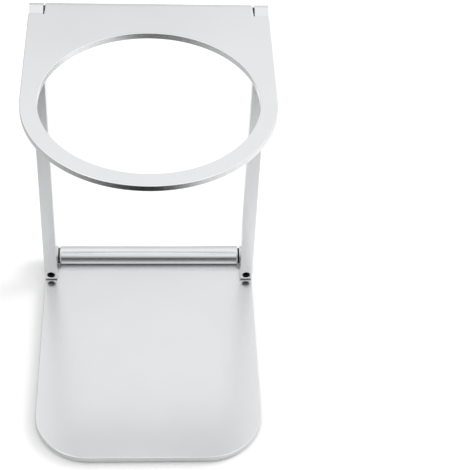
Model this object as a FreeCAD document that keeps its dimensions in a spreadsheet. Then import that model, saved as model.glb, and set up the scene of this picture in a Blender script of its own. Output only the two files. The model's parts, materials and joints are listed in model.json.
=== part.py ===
import FreeCAD, Part
import math
import operator
import os
import Sketcher

# Folding stand for pour over coffee: a base plate and a ring plate, each with a hinge barrel along
# its rear edge, joined by two legs. It is open, as it stands in use.
# Millimetres. X runs to the right, Y to the rear and Z up. The origin is under the middle of the
# stand's outline, on the surface that it stands on.

# Driving sizes
SIZES = {
    # Ring plate
    "hole_diameter": 95.0,     # round hole that takes the cone
    "rim_width": 7.5,          # plate left between the hole and the front and sides
    "neck_length": 21.0,       # from the hinge axis forward to the hole's rear edge
    "hole_chamfer": 0.12,      # along the hole's two rims
    # Base plate
    "base_reach": 133.5,       # from the hinge axis forward to the front edge
    "base_corner": 27.0,       # radius of the two front corners
    # Both plates
    "plate_thickness": 3.0,
    "barrel_diameter": 10.4,   # hinge barrels, and the legs' knuckles beside them
    "barrel_root": 0.6,        # radius in the corner between a barrel and its plate
    "barrel_round": 1.0,       # radius round a barrel's two ends
    "notch_room": 2.0,         # from a knuckle forward to the notch's edge
    "plate_round": 0.4,        # radius along the outline's edges
    # Legs
    "hinge_spacing": 157.0,    # between the two hinge axes
    "leg_width": 6.5,
    "leg_depth": 8.5,
    "fold_room": 2.3,          # between a plate folded behind the legs and the legs
    "stop_gap": 0.5,           # between a leg's end and the plate that stops against it
    "arm_fillet": 2.0,
    "end_round": 0.5,          # radius along the front edge of a leg's two ends
    "leg_chamfer": 0.3,        # along a leg's two long front edges
    # Hinge shafts and washers
    "shaft_diameter": 6.0,
    "shaft_play": 0.08,        # radial clearance in a barrel
    "shaft_grip": 0.02,        # radial clearance in a knuckle, before it is clamped
    "shaft_cover": 1.0,        # leg left outside the shaft's end
    "shaft_end_gap": 0.1,
    "shaft_chamfer": 0.4,
    "washer_thickness": 0.5,
    "washer_play": 0.05,       # on each side of a washer
    "washer_wall": 1.1,        # from a washer's hole to its rim
    "washer_fit": 0.1,         # radial clearance on the shaft
    # Set screws
    "screw_diameter": 4.0,
    "screw_fit": 0.05,         # radial clearance in the leg
    "screw_recess": 0.6,       # from the leg's front face in to the screw's face
    "screw_rim": 0.8,          # leg left between the screw's hole and the leg's end
    "screw_chamfer": 0.3,
    "screw_mouth": 0.2,        # chamfer at the mouth of the screw's hole
    "socket_width": 2.0,       # across the flats
    "socket_depth": 2.0,
    # Rubber feet
    "foot_diameter": 10.0,
    "foot_thickness": 1.0,
    "foot_margin": 9.0,        # from a foot to the plate's edges
    "foot_chamfer": 0.3,
    # How far a cutting outline passes the faces that it opens
    "cut_past": 2.0,
}

# References inside a sketch
START, END, CENTRE = 1, 2, 3
ORIGIN = (-1, 1)
ACROSS, UP = -1, -2

# How closely an edge is placed when it is picked by its box, in millimetres
NEAR = 1e-4

HEXAGON_SIDES = 6


class Length:
    """A value in millimetres with the expression that works it out from the sheet."""

    OPERATORS = {"+": operator.add, "-": operator.sub, "*": operator.mul, "/": operator.truediv}

    def __init__(self, value, text):
        self.value = value
        self.text = text

    @classmethod
    def of(cls, number):
        """A plain number as a Length, or the Length itself."""
        return number if isinstance(number, cls) else cls(float(number), repr(float(number)))

    @classmethod
    def joined(cls, left, sign, right):
        """The Length that two others give when they are added, multiplied and so on."""
        left, right = cls.of(left), cls.of(right)
        value = cls.OPERATORS[sign](left.value, right.value)
        return cls(value, f"({left.text} {sign} {right.text})")

    def __add__(self, other):
        return Length.joined(self, "+", other)

    def __sub__(self, other):
        return Length.joined(self, "-", other)

    def __mul__(self, other):
        return Length.joined(self, "*", other)

    def __rmul__(self, other):
        return Length.joined(other, "*", self)

    def __truediv__(self, other):
        return Length.joined(self, "/", other)

    def __neg__(self):
        return Length.joined(-1, "*", self)


document = FreeCAD.newDocument("dripper_stand")

# The sheet, and one Length for each of its cells
sheet = document.addObject("Spreadsheet::Sheet", "sizes")
for row, (alias, number) in enumerate(SIZES.items(), start=1):
    sheet.set(f"A{row}", alias)
    sheet.set(f"B{row}", str(number))
    sheet.setAlias(f"B{row}", alias)
document.recompute()
size = {alias: Length(float(sheet.get(alias)), f"sizes.{alias}") for alias in SIZES}

# Places and sizes that follow from the driving ones
ZERO = Length.of(0)
plate_width = size["hole_diameter"] + 2 * size["rim_width"]
half_width = plate_width / 2
barrel_radius = size["barrel_diameter"] / 2
washer_slot = size["washer_thickness"] + 2 * size["washer_play"]
leg_inside = half_width - size["leg_width"]
barrel_half = leg_inside - washer_slot
inner_face = barrel_radius - size["plate_thickness"]
notch_depth = barrel_radius + size["notch_room"]
hole_radius = size["hole_diameter"] / 2
hole_reach = size["neck_length"] + hole_radius
ring_reach = hole_reach + half_width

shaft_radius = size["shaft_diameter"] / 2
leg_rear = barrel_radius + size["fold_room"]
leg_front = leg_rear + size["leg_depth"]
leg_end = inner_face - size["stop_gap"]
half_spacing = size["hinge_spacing"] / 2

screw_radius = size["screw_diameter"] / 2
screw_hole_radius = screw_radius + size["screw_fit"]
screw_side = half_width - size["leg_width"] / 2
screw_rise = size["screw_rim"] + screw_hole_radius - leg_end
screw_length = leg_front - size["screw_recess"] - shaft_radius

foot_radius = size["foot_diameter"] / 2
foot_inset = size["foot_margin"] + foot_radius

hinge_y = (size["base_reach"] - barrel_radius) / 2
lower_z = size["foot_thickness"] + barrel_radius
upper_z = lower_z + size["hinge_spacing"]

bodies = []


def new_body(label, place=(ZERO, ZERO, ZERO), turned=False):
    """A body at its place in the stand, turned half round about Y where it is used upside down."""
    body = document.addObject("PartDesign::Body", label)
    body.Label = label
    half_turn = FreeCAD.Rotation(FreeCAD.Vector(0, 1, 0), 180 if turned else 0)
    body.Placement = FreeCAD.Placement(FreeCAD.Vector(*[part.value for part in place]), half_turn)
    for axis, part in zip("xyz", place):
        body.setExpression(f"Placement.Base.{axis}", part.text)
    bodies.append(body)
    return body


class Drawing:
    """A sketch on one of a body's origin planes, with every size driven from the sheet."""

    def __init__(self, body, name, plane, offset=ZERO):
        self.sketch = body.newObject("Sketcher::SketchObject", f"{body.Label}_{name}")
        datum = next(item for item in body.Origin.OriginFeatures if item.Role == plane)
        self.sketch.AttachmentSupport = [(datum, "")]
        self.sketch.MapMode = "FlatFace"
        shift = FreeCAD.Vector(0, 0, offset.value)
        self.sketch.AttachmentOffset = FreeCAD.Placement(shift, FreeCAD.Rotation())
        self.sketch.setExpression("AttachmentOffset.Base.z", offset.text)

    def line(self, start, end):
        """A line between two points, held level or upright where they share a coordinate."""
        ends = [FreeCAD.Vector(x.value, y.value, 0) for x, y in (start, end)]
        geometry = self.sketch.addGeometry(Part.LineSegment(*ends), False)
        if start[1] is end[1]:
            self.tie("Horizontal", geometry)
        if start[0] is end[0]:
            self.tie("Vertical", geometry)
        return geometry

    def arc(self, centre, radius, first, last):
        """An arc, counterclockwise between two angles in degrees."""
        middle = FreeCAD.Vector(centre[0].value, centre[1].value, 0)
        whole = Part.Circle(middle, FreeCAD.Vector(0, 0, 1), radius.value)
        piece = Part.ArcOfCircle(whole, math.radians(first), math.radians(last))
        return self.sketch.addGeometry(piece, False)

    def circle(self, name, centre, radius):
        """A circle with its centre and radius driven."""
        middle = FreeCAD.Vector(centre[0].value, centre[1].value, 0)
        whole = Part.Circle(middle, FreeCAD.Vector(0, 0, 1), radius.value)
        geometry = self.sketch.addGeometry(whole, False)
        self.place(name, (geometry, CENTRE), centre)
        self.drive(f"{name}_radius", "Radius", geometry, radius)
        return geometry

    def rectangle(self, name, low, high):
        """A rectangle from its lowest to its highest corner, with both corners driven."""
        corners = [low, (high[0], low[1]), high, (low[0], high[1])]
        sides = [self.line(here, there) for here, there in zip(corners, corners[1:] + corners[:1])]
        for here, there in zip(sides, sides[1:] + sides[:1]):
            self.tie("Coincident", here, END, there, START)
        self.place(f"{name}_low", (sides[0], START), low)
        self.place(f"{name}_high", (sides[2], START), high)

    def tie(self, kind, *references):
        """A constraint with no size."""
        self.sketch.addConstraint(Sketcher.Constraint(kind, *references))

    def drive(self, name, kind, *references_and_size):
        """A named dimension that the sheet drives."""
        *references, length = references_and_size
        index = self.sketch.addConstraint(Sketcher.Constraint(kind, *references, length.value))
        self.sketch.renameConstraint(index, name)
        self.sketch.setExpression(f"Constraints.{name}", length.text)

    def place(self, name, point, where):
        """A point at a place measured from the sketch's origin."""
        for axis, kind, along in ((0, "DistanceX", UP), (1, "DistanceY", ACROSS)):
            if where[axis] is ZERO:
                self.tie("PointOnObject", *point, along)
            else:
                self.drive(f"{name}_{'xy'[axis]}", kind, *ORIGIN, *point, where[axis])


def pad(drawing, name, length, both_ways=False):
    """Material along a sketch's normal, or half of it each way."""
    body = drawing.sketch.getParentGeoFeatureGroup()
    feature = body.newObject("PartDesign::Pad", f"{body.Label}_{name}")
    feature.Profile = drawing.sketch
    feature.SideType = "Symmetric" if both_ways else "One side"
    feature.setExpression("Length", length.text)
    return feature


def pocket(drawing, name, depth=None):
    """A cut against a sketch's normal, to a depth or right through."""
    body = drawing.sketch.getParentGeoFeatureGroup()
    document.recompute()
    before = body.Shape.Volume
    feature = body.newObject("PartDesign::Pocket", f"{body.Label}_{name}")
    feature.Profile = drawing.sketch
    if depth is None:
        feature.Type = "ThroughAll"
    else:
        feature.setExpression("Length", depth.text)
    document.recompute()
    if not body.Shape.Volume < before:
        raise RuntimeError(f"{feature.Name} cuts nothing")
    return feature


def dress(body, kind, name, length, chosen):
    """A Chamfer or Fillet on every edge of the body so far for which chosen(box of the edge) is true."""
    document.recompute()
    last = body.Tip
    edges = enumerate(last.Shape.Edges, start=1)
    names = [f"Edge{number}" for number, edge in edges if chosen(edge.BoundBox)]
    if not names:
        raise RuntimeError(f"{body.Label} has no edge for {name}")
    feature = body.newObject(f"PartDesign::{kind}", f"{body.Label}_{name}")
    feature.Base = (last, names)
    feature.setExpression({"Chamfer": "Size", "Fillet": "Radius"}[kind], length.text)


# The plates

def hinged_plate(label, reach, place, turned):
    """A plate with its barrel: the extruded section, the notches for knuckles, the rounds at the
    barrel's ends and the bore.

    Its frame has the hinge axis along X and the plate's outer face at the bottom, level with the
    lowest line of the barrel.
    """
    body = new_body(label, place, turned)
    section = Drawing(body, "section", "YZ_Plane")
    outer, inner, front = -barrel_radius, -inner_face, -reach
    root = size["barrel_root"]
    rise, span = inner_face - root, barrel_radius + root
    root_y = Length.of(-math.sqrt(span.value ** 2 - rise.value ** 2))
    lift = math.degrees(math.asin(rise.value / span.value))
    bottom = section.line((front, outer), (ZERO, outer))
    barrel = section.arc((ZERO, ZERO), barrel_radius, -90, 180 + lift)
    hollow = section.arc((root_y, -rise), root, -90, lift)
    top = section.line((root_y, inner), (front, inner))
    nose = section.line((front, inner), (front, outer))
    section.tie("Coincident", barrel, CENTRE, *ORIGIN)
    section.tie("Tangent", bottom, END, barrel, START)
    section.tie("Tangent", barrel, END, hollow, END)
    section.tie("Tangent", hollow, START, top, START)
    section.tie("Coincident", top, END, nose, START)
    section.tie("Coincident", nose, END, bottom, START)
    section.drive("barrel", "Radius", barrel, barrel_radius)
    section.drive("root", "Radius", hollow, root)
    section.drive("thickness", "DistanceY", nose, END, nose, START, size["plate_thickness"])
    section.drive("reach", "DistanceX", nose, END, *ORIGIN, reach)
    pad(section, "extrusion", plate_width, both_ways=True)

    past = size["cut_past"]
    notches = Drawing(body, "notches", "XY_Plane", barrel_radius)
    notches.rectangle("left", (-(half_width + past), -notch_depth), (-barrel_half, barrel_radius + past))
    notches.rectangle("right", (barrel_half, -notch_depth), (half_width + past, barrel_radius + past))
    pocket(notches, "notches_cut")
    dress(body, "Fillet", "barrel_rounds", size["barrel_round"], barrel_end)

    bore = Drawing(body, "bore", "YZ_Plane", half_width)
    bore.circle("bore", (ZERO, ZERO), shaft_radius + size["shaft_play"])
    pocket(bore, "bore_cut")
    return body


def barrel_end(box):
    """Whether an edge runs round the end of a barrel."""
    return box.XLength < NEAR and abs(box.YMax - barrel_radius.value) < NEAR


def ahead_of_notches(box):
    """Whether all of an edge lies further forward than the notches reach."""
    return box.YMin < -notch_depth.value - NEAR and box.YMax < -notch_depth.value + NEAR


def outline_edge(box):
    """Whether an edge runs round the outline of either face, ahead of the notches."""
    return box.ZLength < NEAR and ahead_of_notches(box)


def hole_rim(box):
    """Whether an edge is one of the hole's two rims."""
    return box.ZLength < NEAR and abs(box.XLength - box.YLength) < NEAR


def base_plate():
    """The base: a flat plate with two rounded front corners."""
    body = hinged_plate("base_plate", size["base_reach"], (ZERO, hinge_y, lower_z), False)
    dress(body, "Fillet", "corners", size["base_corner"],
          lambda box: box.ZLength > NEAR and ahead_of_notches(box))
    dress(body, "Fillet", "edge_rounds", size["plate_round"], outline_edge)


def ring_plate():
    """The ring: a plate with a round hole, half round in front about the same centre."""
    past = size["cut_past"]
    body = hinged_plate("ring_plate", ring_reach + past, (ZERO, hinge_y, upper_z), True)
    centre = -hole_reach
    left, right = -(half_width + past), half_width + past
    far = -(ring_reach + 2 * past)
    front = Drawing(body, "front", "XY_Plane", barrel_radius)
    curve = front.arc((ZERO, centre), half_width, 180, 360)
    outline = [(half_width, centre), (right, centre), (right, far), (left, far), (left, centre),
               (-half_width, centre)]
    sides = [front.line(here, there) for here, there in zip(outline, outline[1:])]
    for here, there in zip(sides, sides[1:]):
        front.tie("Coincident", here, END, there, START)
    front.tie("Coincident", curve, END, sides[0], START)
    front.tie("Coincident", sides[-1], END, curve, START)
    front.place("centre", (curve, CENTRE), (ZERO, centre))
    front.drive("radius", "Radius", curve, half_width)
    front.tie("PointOnObject", curve, CENTRE, sides[0])
    front.tie("PointOnObject", curve, CENTRE, sides[-1])
    front.tie("Equal", sides[0], sides[-1])
    front.place("far_corner", (sides[1], END), (right, far))
    pocket(front, "front_cut")
    dress(body, "Fillet", "edge_rounds", size["plate_round"], outline_edge)

    hole = Drawing(body, "hole", "XY_Plane", barrel_radius)
    hole.circle("hole", (ZERO, centre), hole_radius)
    pocket(hole, "hole_cut")
    dress(body, "Chamfer", "rim_chamfer", size["hole_chamfer"], hole_rim)


# The legs

def leg(label, turned):
    """A leg: a flat bar with an arm and a round knuckle at each end, alike at both ends.

    Its frame has the middle of the stand at X 0, the hinge axes at Y 0 and its own middle at Z 0.
    It is drawn as the left leg, and the right leg is the same piece turned half round.
    """
    body = new_body(label, (ZERO, hinge_y, lower_z + half_spacing), turned)
    side = Drawing(body, "side", "YZ_Plane", -half_width)
    corner = size["arm_fillet"]
    front, rear = -leg_front, -leg_rear
    foot, head = -(half_spacing + leg_end), half_spacing + leg_end
    arm_low, arm_high = barrel_radius - half_spacing, half_spacing - barrel_radius
    knuckle_front = Length.of(-math.sqrt(barrel_radius.value ** 2 - leg_end.value ** 2))
    lift = math.degrees(math.asin(leg_end.value / barrel_radius.value))
    bottom = side.line((front, foot), (knuckle_front, foot))
    low_knuckle = side.arc((ZERO, -half_spacing), barrel_radius, 180 + lift, 450)
    low_arm = side.line((ZERO, arm_low), (rear + corner, arm_low))
    low_corner = side.arc((rear + corner, arm_low + corner), corner, 180, 270)
    back = side.line((rear, arm_low + corner), (rear, arm_high - corner))
    high_corner = side.arc((rear + corner, arm_high - corner), corner, 90, 180)
    high_arm = side.line((rear + corner, arm_high), (ZERO, arm_high))
    high_knuckle = side.arc((ZERO, half_spacing), barrel_radius, 270, 540 - lift)
    top = side.line((knuckle_front, head), (front, head))
    face = side.line((front, head), (front, foot))
    side.tie("Coincident", bottom, END, low_knuckle, START)
    side.tie("Tangent", low_knuckle, END, low_arm, START)
    side.tie("Tangent", low_arm, END, low_corner, END)
    side.tie("Tangent", low_corner, START, back, START)
    side.tie("Tangent", back, END, high_corner, END)
    side.tie("Tangent", high_corner, START, high_arm, START)
    side.tie("Tangent", high_arm, END, high_knuckle, START)
    side.tie("Coincident", high_knuckle, END, top, START)
    side.tie("Coincident", top, END, face, START)
    side.tie("Coincident", face, END, bottom, START)
    side.tie("Equal", low_knuckle, high_knuckle)
    side.tie("Equal", low_corner, high_corner)
    side.tie("Symmetric", low_knuckle, CENTRE, high_knuckle, CENTRE, *ORIGIN)
    side.place("low_axis", (low_knuckle, CENTRE), (ZERO, -half_spacing))
    side.drive("knuckle", "Radius", low_knuckle, barrel_radius)
    side.drive("corner", "Radius", low_corner, corner)
    side.drive("rear", "DistanceX", back, START, *ORIGIN, leg_rear)
    side.drive("front", "DistanceX", face, END, *ORIGIN, leg_front)
    side.drive("foot", "DistanceY", face, END, *ORIGIN, half_spacing + leg_end)
    side.drive("head", "DistanceY", *ORIGIN, face, START, half_spacing + leg_end)
    pad(side, "bar", size["leg_width"])

    def end_edge(box):
        return box.YMax < -leg_front.value + NEAR and box.ZLength < NEAR

    dress(body, "Fillet", "end_rounds", size["end_round"], end_edge)

    shaft_holes = Drawing(body, "shaft_holes", "YZ_Plane", -leg_inside)
    screw_holes = Drawing(body, "screw_holes", "XZ_Plane", leg_front)
    for name, sign in (("low", -1), ("high", 1)):
        shaft_holes.circle(name, (ZERO, sign * half_spacing), shaft_radius + size["shaft_grip"])
        screw_z = sign * (half_spacing - screw_rise)
        screw_holes.circle(name, (-screw_side, screw_z), screw_hole_radius)
    pocket(shaft_holes, "shaft_holes_cut", size["leg_width"] - size["shaft_cover"])
    pocket(screw_holes, "screw_holes_cut", leg_front)

    def round_mouth(box):
        return box.YMax < -leg_front.value + NEAR and abs(box.XLength - box.ZLength) < NEAR

    def long_corner(box):
        return box.YMax < -leg_front.value + NEAR and box.ZLength > half_spacing.value

    dress(body, "Chamfer", "screw_mouths", size["screw_mouth"], round_mouth)
    dress(body, "Chamfer", "edge_chamfer", size["leg_chamfer"], long_corner)


# The small pieces

def hinge_shaft(label, height):
    """A plain steel shaft with chamfered ends, centred on X 0."""
    body = new_body(label, (ZERO, hinge_y, height))
    section = Drawing(body, "section", "YZ_Plane")
    section.circle("shaft", (ZERO, ZERO), shaft_radius)
    pad(section, "rod", 2 * (half_width - size["shaft_cover"] - size["shaft_end_gap"]), both_ways=True)
    dress(body, "Chamfer", "ends", size["shaft_chamfer"], lambda box: box.XLength < NEAR)


def washer(label, side, height):
    """A thin washer in the slot between a barrel and a knuckle."""
    first = barrel_half + size["washer_play"]
    start = first if side > 0 else -(first + size["washer_thickness"])
    body = new_body(label, (start, hinge_y, height))
    section = Drawing(body, "section", "YZ_Plane")
    hole = shaft_radius + size["washer_fit"]
    section.circle("inside", (ZERO, ZERO), hole)
    section.circle("outside", (ZERO, ZERO), hole + size["washer_wall"])
    pad(section, "disc", size["washer_thickness"])


def set_screw(label, side, height):
    """A socket set screw along Y: its flat point on the shaft and its socket to the front."""
    body = new_body(label, (side * screw_side, hinge_y - shaft_radius, height))
    section = Drawing(body, "section", "XZ_Plane")
    section.circle("screw", (ZERO, ZERO), screw_radius)
    pad(section, "rod", screw_length)
    dress(body, "Chamfer", "ends", size["screw_chamfer"], lambda box: box.YLength < NEAR)

    socket = Drawing(body, "socket", "XZ_Plane", screw_length)
    reach = size["socket_width"] / Length(math.sqrt(3), "sqrt(3)")
    turns = [2 * math.pi * corner / HEXAGON_SIDES for corner in range(HEXAGON_SIDES)]
    corners = [FreeCAD.Vector(math.cos(turn), math.sin(turn), 0) * reach.value for turn in turns]
    sides = [socket.sketch.addGeometry(Part.LineSegment(*ends), False)
             for ends in zip(corners, corners[1:] + corners[:1])]
    guide = Part.Circle(FreeCAD.Vector(0, 0, 0), FreeCAD.Vector(0, 0, 1), reach.value)
    ring = socket.sketch.addGeometry(guide, True)
    socket.tie("Coincident", ring, CENTRE, *ORIGIN)
    socket.drive("corners", "Radius", ring, reach)
    for here, there in zip(sides, sides[1:] + sides[:1]):
        socket.tie("Coincident", here, END, there, START)
        socket.tie("PointOnObject", here, START, ring)
    for other in sides[1:]:
        socket.tie("Equal", sides[0], other)
    socket.tie("PointOnObject", sides[0], START, ACROSS)
    pocket(socket, "socket_cut", size["socket_depth"])


def rubber_foot(label, side, y):
    """A thin round foot stuck under the base plate."""
    body = new_body(label, (side * (half_width - foot_inset), y, ZERO))
    section = Drawing(body, "section", "XY_Plane")
    section.circle("foot", (ZERO, ZERO), foot_radius)
    pad(section, "disc", size["foot_thickness"])
    dress(body, "Chamfer", "rim", size["foot_chamfer"], lambda box: box.ZMax < NEAR)


base_plate()
ring_plate()
leg("left_leg", False)
leg("right_leg", True)
for level, height, inward in (("lower", lower_z, 1), ("upper", upper_z, -1)):
    hinge_shaft(f"{level}_shaft", height)
    for name, side in (("left", -1), ("right", 1)):
        washer(f"washer_{level}_{name}", side, height)
        set_screw(f"set_screw_{level}_{name}", side, height + inward * screw_rise)
front_foot_y = hinge_y - size["base_reach"] + foot_inset
rear_foot_y = hinge_y - notch_depth - foot_inset
for end, y in (("front", front_foot_y), ("rear", rear_foot_y)):
    for name, side in (("left", -1), ("right", 1)):
        rubber_foot(f"foot_{end}_{name}", side, y)
document.recompute()

# Nothing is written unless every feature and solid is sound
for item in document.Objects:
    if "Invalid" in item.State or "Error" in item.State:
        raise RuntimeError(f"{item.Name} failed: {item.State}")
    if item.isDerivedFrom("Sketcher::SketchObject") and not item.FullyConstrained:
        raise RuntimeError(f"{item.Name} isn't fully constrained")
for body in bodies:
    shape = body.Shape
    if shape.isNull() or not shape.isValid() or len(shape.Solids) != 1:
        raise RuntimeError(f"{body.Label} isn't one sound solid")

os.makedirs("parts", exist_ok=True)
for body in bodies:
    body.Shape.exportStep(f"parts/{body.Label}.step")
    box = body.Shape.optimalBoundingBox(False)
    low = f"{box.XMin:.2f} {box.YMin:.2f} {box.ZMin:.2f}"
    high = f"{box.XMax:.2f} {box.YMax:.2f} {box.ZMax:.2f}"
    print(f"{body.Label}: {low} to {high}, {body.Shape.Volume:.1f} mm3")
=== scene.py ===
"""Dresses the folding stand for pour over coffee: finishes, small hardware, studio and camera."""

import json
import math

import bpy
import numpy as np
from bpy.props import FloatProperty, FloatVectorProperty, PointerProperty
from mathutils import Matrix, Vector


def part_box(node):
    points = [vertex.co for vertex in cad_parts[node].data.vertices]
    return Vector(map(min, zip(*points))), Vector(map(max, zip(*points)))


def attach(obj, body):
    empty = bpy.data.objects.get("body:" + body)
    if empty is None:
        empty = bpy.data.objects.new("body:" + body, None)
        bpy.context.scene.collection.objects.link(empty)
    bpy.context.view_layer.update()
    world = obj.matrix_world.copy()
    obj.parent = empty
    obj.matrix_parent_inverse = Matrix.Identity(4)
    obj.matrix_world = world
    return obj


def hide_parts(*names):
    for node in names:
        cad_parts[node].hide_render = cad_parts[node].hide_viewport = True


bl_info = {
    "name": "Pour over stand",
    "version": (1, 0, 0),
    "blender": (4, 5, 0),
    "location": "View3D > Sidebar > Stand",
    "description": "Finishes, small hardware and studio of a folding aluminium stand",
    "category": "Object",
}

# The frame is loaded before anything else, because sizes below are read from it
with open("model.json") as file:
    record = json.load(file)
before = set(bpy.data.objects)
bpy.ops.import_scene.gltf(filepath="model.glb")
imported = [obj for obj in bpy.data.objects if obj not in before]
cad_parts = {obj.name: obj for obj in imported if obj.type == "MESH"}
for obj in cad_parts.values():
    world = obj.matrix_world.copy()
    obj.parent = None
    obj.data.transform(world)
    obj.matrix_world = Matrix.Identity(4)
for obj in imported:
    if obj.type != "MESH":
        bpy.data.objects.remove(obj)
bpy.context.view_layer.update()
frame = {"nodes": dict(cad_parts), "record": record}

MM = 0.001


# Places read from the frame

def corners(node):
    """The lowest and highest corner of a node's box."""
    low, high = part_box(node)
    return np.array(low), np.array(high)


def nodes_like(start):
    """The names of the frame's nodes that begin with some words, in order."""
    return sorted(name for name in frame["nodes"] if name.startswith(start))


LOWER_AXIS = sum(corners("lower_shaft")) / 2
UPPER_AXIS = sum(corners("upper_shaft")) / 2
SHAFT_RADIUS = (corners("lower_shaft")[1] - LOWER_AXIS)[1]
KNUCKLE_RADIUS = LOWER_AXIS[2] - corners("base_plate")[0][2]
# Half a barrel's length, as the washers lie against its ends
BARREL_HALF = corners("washer_lower_right")[0][0]


# Colours and nodes

def linear(code):
    """An sRGB hex code such as "#C8CACC" as the linear RGBA that a shader takes."""
    channels = np.array([int(code[at:at + 2], 16) / 255 for at in (1, 3, 5)])
    straight = np.where(channels <= 0.04045, channels / 12.92, ((channels + 0.055) / 1.055) ** 2.4)
    return (*straight.tolist(), 1.0)


def add_node(owner, kind, inputs=None, **settings):
    """Adds a node with its settings to a material's or world's tree.

    Each input is given as a value or as another node's output, which is then linked to it.
    """
    tree = owner.node_tree
    made = tree.nodes.new(kind)
    for name, value in settings.items():
        setattr(made, name, value)
    for socket, given in (inputs or {}).items():
        if isinstance(given, bpy.types.NodeSocket):
            tree.links.new(given, made.inputs[socket])
        else:
            made.inputs[socket].default_value = given
    return made


def blank_material(name):
    """A material whose tree is empty."""
    made = bpy.data.materials.new(name)
    made.use_nodes = True
    made.node_tree.nodes.clear()
    return made


# Properties

def colour(name, description, code):
    """A colour property with an sRGB hex code for its default."""
    return FloatVectorProperty(name=name, description=description, size=3, subtype="COLOR", min=0, max=1,
                               default=linear(code)[:3])


def length(name, description, default):
    """A length property in metres."""
    return FloatProperty(name=name, description=description, default=default, min=0, subtype="DISTANCE",
                         unit="LENGTH", precision=5)


def share(name, description, default):
    """A property from nought to one."""
    return FloatProperty(name=name, description=description, default=default, min=0, max=1,
                         subtype="FACTOR")


class StandFinish(bpy.types.PropertyGroup):
    """Colours and surface detail of the stand's metals and its small black pieces."""

    metal_pale: colour("Aluminium", "Palest tone of the anodised aluminium", "#ECEDEE")
    metal_shade: colour("Aluminium shade", "Darkest tone of the faint clouds in the anodising", "#E7E8E9")
    # Painted highlight: a paler tone laid on the rounded edges of the plates and legs
    metal_edge_highlight: colour("Aluminium edge", "Tone of the rounded edges, rubbed bright", "#FEFEFE")
    # Painted shade: a darker tone along the corner between a barrel and its plate
    metal_root_shade: colour("Aluminium root", "Tone of the corner between a barrel and its plate", "#808286")
    metal_roughness: share("Plate roughness", "Roughness of the blasted plates and legs", 0.23)
    barrel_roughness: share("Barrel roughness", "Roughness of the hinge barrels and knuckles", 0.18)
    grain_roughness: share("Grain roughness", "How much rougher the crests of the grain are", 0.04)
    grit: length("Grit", "Width of the blasted grain as it is drawn", 0.45 * MM)
    cloud: length("Cloud", "Width of the faint clouds in the anodising", 24 * MM)
    change: length("Change", "Over which a barrel's finish turns into the plate's", 0.5 * MM)
    plate: length("Plate", "Thickness of the two plates", 3 * MM)
    # Width of the painted shade along a barrel's root
    root: length("Root", "Width of the dark line along a barrel's root", 0.6 * MM)
    steel: colour("Shaft steel", "Ground steel of the hinge shafts", "#BEC0C2")
    ring_width: length("Ring width", "Width of the grinding's rings round the shafts", 0.15 * MM)
    oxide: colour("Black oxide", "Oxide skin on the set screws", "#1B1B1E")
    oxide_width: length("Oxide width", "Width of the patches in the oxide skin", 0.4 * MM)
    nylon: colour("Nylon", "Moulded nylon of the washers", "#17171A")
    rubber: colour("Rubber", "Moulded rubber of the feet", "#1A1A1B")


class StandHardware(bpy.types.PropertyGroup):
    """Sizes of the small pieces that the frame doesn't give."""

    thread_pitch: length("Thread pitch", "From one crest of the screw's thread to the next", 0.7 * MM)
    socket_width: length("Socket width", "Across the flats of the screw's hexagon socket", 2.0 * MM)
    socket_depth: length("Socket depth", "From the screw's face to the foot of its hexagon", 2.0 * MM)
    cup_radius: length("Cup radius", "Radius of the hollow in the screw's point", 1.0 * MM)
    washer_fit: length("Washer fit", "Radial room between a washer and the shaft", 0.1 * MM)
    washer_edge: length("Washer edge", "Radius round a washer's edges", 0.12 * MM)
    foot_edge: length("Foot edge", "Radius round the lower edge of a foot", 0.35 * MM)
    foot_dish: length("Foot dish", "Depth of the shallow hollow under a foot", 0.12 * MM)


class StandStudio(bpy.types.PropertyGroup):
    """Paper, light and camera."""

    paper: colour("Paper", "White paper that the stand is on", "#FAFAFA")
    paper_width: length("Paper width", "Across the square sheet of paper", 4.0)
    lamp_share: share("Softbox", "What the softbox adds to the level of the paper", 0.24)
    lamp_width: length("Softbox width", "Width of the square softbox", 0.6)
    lamp_place: FloatVectorProperty(name="Softbox place", description="Where the softbox hangs", size=3,
                                    subtype="TRANSLATION", unit="LENGTH", default=(0.85, 0.35, 0.55))
    target: FloatVectorProperty(name="Target", description="Point at the middle of the picture", size=3,
                                subtype="TRANSLATION", unit="LENGTH",
                                default=(42.41 * MM, 23.64 * MM, 61.0 * MM))
    azimuth: FloatProperty(name="Azimuth", description="How far the camera stands round from the front",
                           subtype="ANGLE", unit="ROTATION", default=math.radians(-4.85))
    elevation: FloatProperty(name="Elevation", description="How far the camera looks down",
                             subtype="ANGLE", unit="ROTATION", default=math.radians(44.0))
    roll: FloatProperty(name="Roll", description="Turn of the camera about its line of sight",
                        subtype="ANGLE", unit="ROTATION", default=math.radians(3.45))
    distance: length("Distance", "From the camera to the target", 698.5 * MM)
    lens: FloatProperty(name="Lens", description="Focal length on a sensor 36 millimetres wide",
                        unit="CAMERA", default=108.17, min=1)


# Finishes

def distance_from_hinges(owner, place, forward=0.0, outward=0.0):
    """How far a point is from the nearer of two lines along X, one beside each hinge's axis.

    Each line lies as far before its axis as forward says, and as far beyond it from the other hinge
    as outward says.
    """
    level = add_node(owner, "ShaderNodeVectorMath", {0: place, 1: (0, 1, 1)}, operation="MULTIPLY")
    lines = ((0, LOWER_AXIS[1] - forward, LOWER_AXIS[2] - outward),
             (0, UPPER_AXIS[1] - forward, UPPER_AXIS[2] + outward))
    lower, upper = [add_node(owner, "ShaderNodeVectorMath", {0: level.outputs[0], 1: line},
                             operation="DISTANCE").outputs["Value"] for line in lines]
    return add_node(owner, "ShaderNodeMath", {0: lower, 1: upper}, operation="MINIMUM").outputs[0]


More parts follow.
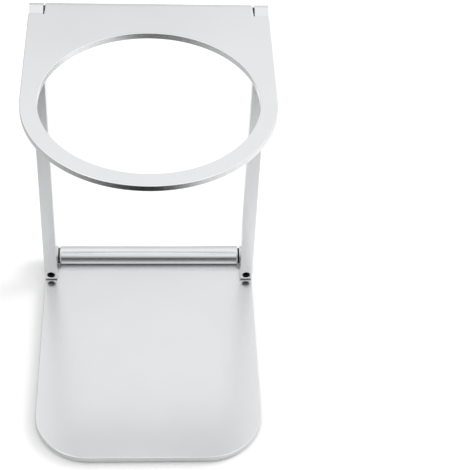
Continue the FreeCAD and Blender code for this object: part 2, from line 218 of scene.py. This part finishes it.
def rounded_edges(owner, normal):
    """Nought on level and upright faces and one halfway round an edge between them.

    It is the square of the sine of twice the slope, or 4 * n**2 * (1 - n**2) for a normal of
    height n.
    """
    height = add_node(owner, "ShaderNodeSeparateXYZ", {"Vector": normal}).outputs["Z"]
    squared = add_node(owner, "ShaderNodeMath", {0: height, 1: height}, operation="MULTIPLY").outputs[0]
    rest = add_node(owner, "ShaderNodeMath", {0: 1.0, 1: squared}, operation="SUBTRACT").outputs[0]
    slant = add_node(owner, "ShaderNodeMath", {0: squared, 1: rest}, operation="MULTIPLY").outputs[0]
    return add_node(owner, "ShaderNodeMath", {0: slant, 1: 4.0}, operation="MULTIPLY").outputs[0]


def painted_root_shade(owner, place, plate, width):
    """Mask of painted shade: one in the corners where a barrel rises from the inner face of its
    plate, elsewhere nought.

    A rod as wide as the dark line, laid against both, would have its middle at the line's middle.
    From there the line is full for 0.6 of its width and gone at 1.1.
    """
    outward = KNUCKLE_RADIUS - plate - width / 2
    forward = math.sqrt((KNUCKLE_RADIUS + width / 2) ** 2 - outward ** 2)
    corner = add_node(owner, "ShaderNodeMapRange",
                      {"Value": distance_from_hinges(owner, place, forward, outward),
                       "From Min": 1.1 * width, "From Max": 0.6 * width}).outputs["Result"]
    across = add_node(owner, "ShaderNodeSeparateXYZ", {"Vector": place}).outputs["X"]
    side = add_node(owner, "ShaderNodeMath", {0: across}, operation="ABSOLUTE").outputs[0]
    at_barrel = add_node(owner, "ShaderNodeMath", {0: side, 1: BARREL_HALF}, operation="LESS_THAN")
    return add_node(owner, "ShaderNodeMath", {0: corner, 1: at_barrel.outputs[0]},
                    operation="MULTIPLY").outputs[0]


def blasted_aluminium(finish):
    """Aluminium, bead-blasted and clear anodised: pale, satin and even, with soft broad reflections.

    The blasted grain is finer than a pixel, so it is drawn a few times too wide to show at all. The
    turned barrels and knuckles are a little smoother than the plates, by their distance from a hinge.
    Rounded edges get a painted highlight, a paler tone, and the corner at a barrel's root gets
    painted shade, a darker tone.
    """
    made = blank_material("bead_blasted_anodised_aluminium")
    coordinates = add_node(made, "ShaderNodeTexCoord").outputs
    place = coordinates["Object"]
    grain = add_node(made, "ShaderNodeTexNoise", {"Vector": place, "Scale": 1 / finish.grit})
    clouds = add_node(made, "ShaderNodeTexNoise", {"Vector": place, "Scale": 1 / finish.cloud})
    flat = add_node(made, "ShaderNodeMapRange",
                    {"Value": distance_from_hinges(made, place), "From Min": KNUCKLE_RADIUS,
                     "From Max": KNUCKLE_RADIUS + finish.change},
                    interpolation_type="SMOOTHSTEP").outputs["Result"]
    smooth = add_node(made, "ShaderNodeMapRange",
                      {"Value": flat, "To Min": finish.barrel_roughness,
                       "To Max": finish.metal_roughness})
    rough = add_node(made, "ShaderNodeMath",
                     {0: grain.outputs["Fac"], 1: finish.grain_roughness, 2: smooth.outputs["Result"]},
                     operation="MULTIPLY_ADD")

    # Mask of the painted highlight on the rounded edges, kept off the barrels and knuckles
    edges = add_node(made, "ShaderNodeMath",
                     {0: rounded_edges(made, coordinates["Normal"]), 1: flat}, operation="MULTIPLY")
    # Mask of the painted shade in the corners at the barrels' roots
    root_shade_cover = painted_root_shade(made, place, finish.plate, finish.root)
    # Each tone lies over those before it, as far as its cover says: the random clouds, then a painted
    # highlight on the rounded edges, then painted shade in the barrels' roots
    tone = (*finish.metal_shade, 1)
    for over, cover in ((finish.metal_pale, clouds.outputs["Fac"]),
                        (finish.metal_edge_highlight, edges.outputs[0]),
                        (finish.metal_root_shade, root_shade_cover)):
        tone = add_node(made, "ShaderNodeMix", {"A": tone, "B": (*over, 1), "Factor": cover},
                        data_type="RGBA").outputs["Result"]

    bump = add_node(made, "ShaderNodeBump",
                    {"Height": grain.outputs["Fac"], "Strength": 0.015, "Distance": 0.01 * MM})
    surface = add_node(made, "ShaderNodeBsdfPrincipled",
                       {"Base Color": tone, "Metallic": 1.0, "Roughness": rough.outputs[0],
                        "Normal": bump.outputs["Normal"]})
    add_node(made, "ShaderNodeOutputMaterial", {"Surface": surface.outputs["BSDF"]})
    return made


def ground_steel(finish):
    """Steel, ground round between centres: bright, with fine rings that draw its reflections out.

    The rings are noise that changes quickly along the shaft and hardly at all around it.
    """
    made = blank_material("ground_steel")
    place = add_node(made, "ShaderNodeTexCoord").outputs["Object"]
    along = add_node(made, "ShaderNodeMapping", {"Vector": place, "Scale": (1, 0.05, 0.05)})
    rings = add_node(made, "ShaderNodeTexNoise",
                     {"Vector": along.outputs["Vector"], "Scale": 1 / finish.ring_width}).outputs["Fac"]
    rough = add_node(made, "ShaderNodeMapRange", {"Value": rings, "To Min": 0.14, "To Max": 0.26})
    bump = add_node(made, "ShaderNodeBump", {"Height": rings, "Strength": 0.1, "Distance": 0.01 * MM})
    surface = add_node(made, "ShaderNodeBsdfPrincipled",
                       {"Base Color": (*finish.steel, 1), "Metallic": 1.0,
                        "Roughness": rough.outputs["Result"], "Normal": bump.outputs["Normal"]})
    add_node(made, "ShaderNodeOutputMaterial", {"Surface": surface.outputs["BSDF"]})
    return made


def black_oxide(finish):
    """Hardened steel under black oxide: nearly black, with a dull metal gleam and a film of oil."""
    made = blank_material("black_oxide_steel")
    place = add_node(made, "ShaderNodeTexCoord").outputs["Object"]
    skin = add_node(made, "ShaderNodeTexNoise",
                    {"Vector": place, "Scale": 1 / finish.oxide_width, "Detail": 4.0}).outputs["Fac"]
    rough = add_node(made, "ShaderNodeMapRange", {"Value": skin, "To Min": 0.3, "To Max": 0.5})
    surface = add_node(made, "ShaderNodeBsdfPrincipled",
                       {"Base Color": (*finish.oxide, 1), "Metallic": 1.0, "Coat Weight": 0.25,
                        "Coat Roughness": 0.3, "Roughness": rough.outputs["Result"]})
    add_node(made, "ShaderNodeOutputMaterial", {"Surface": surface.outputs["BSDF"]})
    return made


def moulded(name, tone, roughness, grain, ior, spread=0.06):
    """A black moulded plastic or rubber: matt, with the fine even texture of its mould."""
    made = blank_material(name)
    place = add_node(made, "ShaderNodeTexCoord").outputs["Object"]
    texture = add_node(made, "ShaderNodeTexNoise",
                       {"Vector": place, "Scale": 1 / grain, "Detail": 3.0}).outputs["Fac"]
    rough = add_node(made, "ShaderNodeMapRange",
                     {"Value": texture, "To Min": roughness - spread, "To Max": roughness + spread})
    bump = add_node(made, "ShaderNodeBump", {"Height": texture, "Strength": 0.3, "Distance": 0.02 * MM})
    surface = add_node(made, "ShaderNodeBsdfPrincipled",
                       {"Base Color": (*tone, 1), "IOR": ior, "Roughness": rough.outputs["Result"],
                        "Normal": bump.outputs["Normal"]})
    add_node(made, "ShaderNodeOutputMaterial", {"Surface": surface.outputs["BSDF"]})
    return made


# Surfaces

SHARP = math.radians(35)


def new_piece(name, points, face_groups, material):
    """A smooth mesh with its place in its vertices and its faces turned outwards.

    Its volume is the sum over its faces of the tetrahedra that they make with the origin, and where
    that comes out negative every face is turned over.
    """
    fans = [group[:, [0, step, step + 1]] for group in face_groups
            for step in range(1, group.shape[1] - 1)]
    first, second, third = np.moveaxis(points[np.concatenate(fans)], 1, 0)
    if np.einsum("ij,ij->", first, np.cross(second, third)) < 0:
        face_groups = [group[:, ::-1] for group in face_groups]
    mesh = bpy.data.meshes.new(name)
    mesh.from_pydata(points.tolist(), [], [face for group in face_groups for face in group.tolist()])
    mesh.shade_smooth()
    mesh.set_sharp_from_angle(angle=SHARP)
    mesh.materials.append(material)
    piece = bpy.data.objects.new(name, mesh)
    bpy.context.scene.collection.objects.link(piece)
    return piece


def grid_faces(rows, columns, looped=False):
    """Quads of a grid of points whose columns run right round, and whose rows do too if looped."""
    row = np.arange(rows if looped else rows - 1)[:, None]
    column = np.arange(columns)
    above, beside = (row + 1) % rows, (column + 1) % columns
    quad = (row * columns + column, row * columns + beside, above * columns + beside,
            above * columns + column)
    return np.stack(quad, -1).reshape(-1, 4)


def capped(rings, poles):
    """Points and faces of a surface through rings of points, closed by a pole beyond each end ring."""
    rows, columns, _ = rings.shape
    points = np.concatenate([rings.reshape(-1, 3), poles])
    here = np.arange(columns)
    beside = (here + 1) % columns
    last = (rows - 1) * columns
    fans = [np.stack([np.full(columns, rows * columns), beside, here], -1),
            np.stack([np.full(columns, rows * columns + 1), last + here, last + beside], -1)]
    return points, [grid_faces(rows, columns), np.concatenate(fans)]


def set_screw_surface(low, high, hardware, columns=48, rows_to_a_pitch=12):
    """Points and faces of a socket set screw along Y, its socket at the low end.

    Rings run from the foot of the socket out over the face, down the thread and in over the cup. A
    hexagon's radius is its half width over cos(angle from the middle of a flat). The thread is the
    outer radius less its depth times how far a point is past the crest, where the crests lie at
    depth / pitch - turn / (2 pi) = 1/2; sharp 60 degree flanks run between a crest an eighth of a
    pitch wide and a root a quarter wide, so a metric thread is 0.541 of its pitch deep. A 45 degree
    cone at each end brings it down to the root.
    """
    centre, radius = (low + high) / 2, (high - low)[0] / 2
    whole = (high - low)[1]
    pitch = hardware.thread_pitch
    turn = np.linspace(0, 2 * math.pi, columns, endpoint=False)
    thread_depth = 0.541 * pitch
    root = radius - thread_depth

    flat = hardware.socket_width / 2
    sixth = math.pi / 3
    hexagon = flat / np.cos(turn % sixth - sixth / 2)
    mouth_room, mouth_depth, drill_point = 0.05 * MM, 0.15 * MM, 0.4 * MM
    mouth = np.full(columns, hexagon.max() + mouth_room)

    depth = np.linspace(0, whole, round(rows_to_a_pitch * whole / pitch))[:, None]
    past_crest = np.abs((depth / pitch - turn / (2 * math.pi)) % 1 - 0.5)
    thread = radius - thread_depth * np.clip((past_crest - 1 / 16) / (5 / 16), 0, 1)
    thread = np.minimum(thread, root + np.minimum(depth, whole - depth))

    cup = np.full(columns, hardware.cup_radius)
    radii = np.vstack([hexagon, hexagon, mouth, thread, cup])
    depths = np.concatenate([[hardware.socket_depth, mouth_depth, 0], depth[:, 0], [whole]])
    rings = np.stack([centre[0] + radii * np.cos(turn),
                      np.broadcast_to(low[1] + depths[:, None], radii.shape),
                      centre[2] + radii * np.sin(turn)], -1)
    socket_foot = low[1] + hardware.socket_depth + drill_point
    cup_foot = high[1] - hardware.cup_radius / 2
    poles = np.array([[centre[0], socket_foot, centre[2]], [centre[0], cup_foot, centre[2]]])
    return capped(rings, poles)


def washer_surface(low, high, hardware, columns=96, steps=6):
    """Points and faces of a flat ring about X: a rounded rectangle carried round a circle.

    The section's corners are quarter circles, and each of its points goes round the hinge axis at
    its own distance from it.
    """
    centre = (low + high) / 2
    inner, outer = SHAFT_RADIUS + hardware.washer_fit, (high - low)[1] / 2
    edge = hardware.washer_edge
    quarter = np.linspace(0, math.pi / 2, steps)
    bend = (quarter + np.arange(4)[:, None] * math.pi / 2).ravel()
    far = np.repeat([outer - edge, inner + edge, inner + edge, outer - edge], steps)
    side = np.repeat([high[0] - edge, high[0] - edge, low[0] + edge, low[0] + edge], steps)
    away, across = far + edge * np.cos(bend), side + edge * np.sin(bend)
    turn = np.linspace(0, 2 * math.pi, columns, endpoint=False)
    points = np.stack([np.broadcast_to(across[:, None], (len(bend), columns)),
                       centre[1] + away[:, None] * np.cos(turn),
                       centre[2] + away[:, None] * np.sin(turn)], -1)
    return points.reshape(-1, 3), [grid_faces(len(bend), columns, looped=True)]


def foot_surface(low, high, hardware, columns=72, steps=8):
    """Points and faces of a moulded foot: a profile turned about Z.

    From the flat top the side runs down to a quarter circle, and under it the sole rises towards
    the middle by a quarter of a cosine wave.
    """
    centre, radius = (low + high) / 2, (high - low)[0] / 2
    edge, dish = hardware.foot_edge, hardware.foot_dish
    lip, innermost = 0.1 * MM, 0.05
    bend = np.linspace(0, math.pi / 2, steps)
    inward = np.linspace(1, innermost, steps)
    sole = (radius - edge) * inward
    away = np.concatenate([[radius - lip, radius], radius - edge + edge * np.cos(bend), sole[1:]])
    height = np.concatenate([[high[2], high[2] - lip], low[2] + edge - edge * np.sin(bend),
                             low[2] + dish * np.cos(inward[1:] * math.pi / 2)])
    turn = np.linspace(0, 2 * math.pi, columns, endpoint=False)
    rings = np.stack([centre[0] + away[:, None] * np.cos(turn),
                      centre[1] + away[:, None] * np.sin(turn),
                      np.broadcast_to(height[:, None], (len(away), columns))], -1)
    poles = np.array([[centre[0], centre[1], high[2]], [centre[0], centre[1], low[2] + dish]])
    return capped(rings, poles)


def body_of(node):
    """The name of the body that a node of the frame rides on."""
    bodies = frame["record"]["behaviour"]["bodies"]
    return next(name for name, held in bodies.items() if node in held)


def stand_in(node, surface, hardware, material):
    """Makes a piece that takes the place of a node of the frame and moves with its body."""
    points, face_groups = surface(*corners(node), hardware)
    piece = new_piece(f"{node}_piece", points, face_groups, material)
    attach(piece, body_of(node))
    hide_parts(node)
    return piece


# Operators

class STAND_OT_metalwork(bpy.types.Operator):
    """Gives the plates and legs their blasted aluminium"""

    bl_idname = "stand.metalwork"
    bl_label = "Plates and legs"

    def execute(self, context):
        material = blasted_aluminium(context.scene.stand_finish)
        for name in ("base_plate", "ring_plate", "left_leg", "right_leg"):
            frame["nodes"][name].material_slots[0].material = material
        return {"FINISHED"}


class STAND_OT_shafts(bpy.types.Operator):
    """Gives the two hinge shafts their ground steel"""

    bl_idname = "stand.shafts"
    bl_label = "Hinge shafts"

    def execute(self, context):
        material = ground_steel(context.scene.stand_finish)
        for name in ("lower_shaft", "upper_shaft"):
            frame["nodes"][name].material_slots[0].material = material
        return {"FINISHED"}


class STAND_OT_set_screws(bpy.types.Operator):
    """Makes the four threaded set screws that clamp the legs to the shafts"""

    bl_idname = "stand.set_screws"
    bl_label = "Set screws"

    def execute(self, context):
        material = black_oxide(context.scene.stand_finish)
        for node in nodes_like("set_screw"):
            piece = stand_in(node, set_screw_surface, context.scene.stand_hardware, material)
        return {"FINISHED"}


class STAND_OT_washers(bpy.types.Operator):
    """Makes the four washers between the barrels and the knuckles"""

    bl_idname = "stand.washers"
    bl_label = "Washers"

    def execute(self, context):
        material = moulded("black_nylon", context.scene.stand_finish.nylon, roughness=0.45,
                           grain=0.3 * MM, ior=1.53)
        for node in nodes_like("washer"):
            piece = stand_in(node, washer_surface, context.scene.stand_hardware, material)
        return {"FINISHED"}


class STAND_OT_feet(bpy.types.Operator):
    """Makes the four rubber feet under the base"""

    bl_idname = "stand.feet"
    bl_label = "Rubber feet"

    def execute(self, context):
        material = moulded("black_rubber", context.scene.stand_finish.rubber, roughness=0.78,
                           grain=0.5 * MM, ior=1.52)
        for node in nodes_like("foot"):
            piece = stand_in(node, foot_surface, context.scene.stand_hardware, material)
        return {"FINISHED"}


def flat_sheet(name, low, high, material):
    """A stage piece of one face: the rectangle between two corners that share one coordinate."""
    free = [axis for axis in range(3) if low[axis] != high[axis]]
    moved = ((), free[:1], free, free[1:])
    points = [[high[axis] if axis in axes else low[axis] for axis in range(3)] for axes in moved]
    mesh = bpy.data.meshes.new(name)
    mesh.from_pydata(points, [], [(0, 1, 2, 3)])
    mesh.materials.append(material)
    made = bpy.data.objects.new(name, mesh)
    bpy.context.scene.collection.objects.link(made)
    return made


# The dark parts of the room, in metres. Each is a gauze between two corners, with its greatest cover
# and ramps (axis, clear, full) that thin it out: its cover falls to nothing where the coordinate is
# clear. Those on the floor lie a fraction of a millimetre over the paper and apart from one another.
GAUZES = {
    "front_floor": ((-0.7, -1.2, 0.0005), (0.27, 0.0, 0.0005), 1.0,
                    (("Y", 0.0, -0.235), ("X", 0.27, 0.02), ("X", -0.7, -0.03))),
    "front_deep": ((-0.25, -1.2, 0.001), (0.17, -0.15, 0.001), 0.9,
                   (("Y", -0.15, -0.2), ("X", 0.17, 0.03), ("X", -0.25, -0.03))),
    "front_wall": ((-0.8, -1.2, 0.001), (0.8, -1.2, 1.2), 1.0,
                   (("Z", 1.2, 0.1), ("X", -0.8, -0.5), ("X", 0.8, 0.5))),
    "front_left": ((-0.8, -1.19, 0.5), (-0.05, -1.19, 1.6), 0.25, (("X", -0.05, -0.15), ("Z", 1.6, 1.2))),
    "rear_wall": ((-0.8, 0.6, 0.001), (0.2, 0.6, 0.64), 0.22, (("Z", 0.64, 0.5), ("X", 0.2, 0.0))),
    "rear_foot": ((-0.8, 0.601, 0.001), (0.8, 0.601, 0.2), 0.5, (("Z", 0.2, 0.0),)),
    "rear_floor": ((-0.8, 0.2, 0.0005), (0.8, 0.6, 0.0005), 0.5, (("Y", 0.2, 0.35),)),
    "rear_right": ((0.02, 0.075, 0.0008), (0.2, 0.24, 0.0008), 0.5,
                   (("Y", 0.075, 0.1), ("Y", 0.24, 0.16), ("X", 0.02, 0.04), ("X", 0.2, 0.1))),
    "right_wall": ((0.6, -0.6, 0.001), (0.6, 0.6, 0.4), 0.4, (("Z", 0.4, 0.1),)),
    "right_floor": ((0.2, -0.6, 0.0008), (0.6, 0.6, 0.0008), 0.4, (("X", 0.2, 0.4),)),
    "right_near": ((0.055, -0.25, 0.0006), (0.3, 0.2, 0.0006), 0.15,
                   (("X", 0.055, 0.065), ("X", 0.3, 0.2), ("Y", 0.2, 0.1))),
    "left_wall": ((-0.5, -0.3, 0.001), (-0.5, 0.9, 0.3), 0.9, (("Z", 0.3, 0.2),)),
    "left_floor": ((-0.5, -0.2, 0.0008), (-0.055, 0.5, 0.0008), 0.45, (("X", -0.055, -0.08),)),
}


def hang_gauze(name, low, high, cover, ramps):
    """Hangs one of the gauzes, black where it covers. Only reflections show it."""
    gauze = blank_material(name)
    place = add_node(gauze, "ShaderNodeTexCoord").outputs["Object"]
    parts = add_node(gauze, "ShaderNodeSeparateXYZ", {"Vector": place}).outputs
    for axis, clear, full in ramps:
        ramp = add_node(gauze, "ShaderNodeMapRange",
                        {"Value": parts[axis], "From Min": clear, "From Max": full})
        cover = add_node(gauze, "ShaderNodeMath", {0: cover, 1: ramp.outputs["Result"]},
                         operation="MULTIPLY").outputs[0]
    clear_part = add_node(gauze, "ShaderNodeBsdfTransparent").outputs[0]
    black_part = add_node(gauze, "ShaderNodeBsdfDiffuse", {"Color": linear("#000000")}).outputs[0]
    mixed = add_node(gauze, "ShaderNodeMixShader", {0: cover, 1: clear_part, 2: black_part})
    add_node(gauze, "ShaderNodeOutputMaterial", {"Surface": mixed.outputs[0]})
    made = flat_sheet(name, low, high, gauze)
    for ray in ("camera", "diffuse", "transmission", "volume_scatter", "shadow"):
        setattr(made, f"visible_{ray}", False)


class STAND_OT_studio(bpy.types.Operator):
    """Lays the paper, hangs the lamp and the gauzes and sets the light from all round"""

    bl_idname = "stand.studio"
    bl_label = "Studio"

    def execute(self, context):
        scene = context.scene
        studio = scene.stand_studio
        scene.view_settings.view_transform = "Standard"

        world = bpy.data.worlds.new("studio")
        scene.world = world
        world.use_nodes = True
        world.node_tree.nodes.clear()
        light = add_node(world, "ShaderNodeBackground", {"Color": linear("#FFFFFF"), "Strength": 1.0})
        add_node(world, "ShaderNodeOutputWorld", {"Surface": light.outputs["Background"]})

        paper = blank_material("white_paper")
        diffuse = add_node(paper, "ShaderNodeBsdfDiffuse", {"Color": (*studio.paper, 1)})
        add_node(paper, "ShaderNodeOutputMaterial", {"Surface": diffuse.outputs[0]})
        half = studio.paper_width / 2
        flat_sheet("paper", (-half, -half, 0), (half, half, 0), paper)

        for name, sheet in GAUZES.items():
            hang_gauze(name, *sheet)

        # The lamp's power follows from what it adds to the paper's level, as its light falls slanting
        # from a distance onto paper that spreads it evenly
        lamp = bpy.data.lights.new("softbox", "AREA")
        lamp.size = studio.lamp_width
        place = Vector(studio.lamp_place)
        lamp.energy = math.pi ** 2 * studio.lamp_share * place.length ** 3 / place.z
        softbox = bpy.data.objects.new("softbox", lamp)
        aim = place.to_track_quat("Z", "Y").to_matrix().to_4x4()
        softbox.matrix_world = Matrix.Translation(place) @ aim
        softbox.visible_camera = False
        softbox.visible_glossy = False
        scene.collection.objects.link(softbox)
        return {"FINISHED"}


class STAND_OT_camera(bpy.types.Operator):
    """Sets up the camera that looks down on the stand from the front"""

    bl_idname = "stand.camera"
    bl_label = "Camera"

    def execute(self, context):
        studio = context.scene.stand_studio
        level = math.cos(studio.elevation)
        back = Vector((math.sin(studio.azimuth) * level, -math.cos(studio.azimuth) * level,
                       math.sin(studio.elevation)))
        right = Vector((math.cos(studio.azimuth), math.sin(studio.azimuth), 0))
        facing = Matrix((right, back.cross(right), back)).transposed()
        lens = bpy.data.cameras.new("camera")
        lens.lens = studio.lens
        camera = bpy.data.objects.new("camera", lens)
        camera.matrix_world = (Matrix.Translation(Vector(studio.target) + back * studio.distance)
                               @ facing.to_4x4() @ Matrix.Rotation(studio.roll, 4, "Z"))
        context.scene.collection.objects.link(camera)
        context.scene.camera = camera
        return {"FINISHED"}


class STAND_PT_sidebar(bpy.types.Panel):
    """Lists the values and the steps that read them"""

    bl_idname = "STAND_PT_sidebar"
    bl_label = "Pour over stand"
    bl_space_type = "VIEW_3D"
    bl_region_type = "UI"
    bl_category = "Stand"

    def draw(self, context):
        for name in GROUPS:
            values = getattr(context.scene, name)
            part = self.layout.column()
            for each in type(values).__annotations__:
                part.prop(values, each)
        for operator in OPERATORS:
            self.layout.operator(operator.bl_idname)


GROUPS = {"stand_finish": StandFinish, "stand_hardware": StandHardware, "stand_studio": StandStudio}
OPERATORS = (STAND_OT_metalwork, STAND_OT_shafts, STAND_OT_set_screws, STAND_OT_washers, STAND_OT_feet,
             STAND_OT_studio, STAND_OT_camera)
CLASSES = (*GROUPS.values(), *OPERATORS, STAND_PT_sidebar)


def register():
    for made in CLASSES:
        bpy.utils.register_class(made)
    for name, group in GROUPS.items():
        setattr(bpy.types.Scene, name, PointerProperty(type=group))


def unregister():
    for name in GROUPS:
        delattr(bpy.types.Scene, name)
    for made in reversed(CLASSES):
        bpy.utils.unregister_class(made)


def main():
    register()
    bpy.ops.stand.metalwork()
    bpy.ops.stand.shafts()
    bpy.ops.stand.set_screws()
    bpy.ops.stand.washers()
    bpy.ops.stand.feet()
    bpy.ops.stand.studio()
    bpy.ops.stand.camera()


if __name__ == "__main__":
    main()
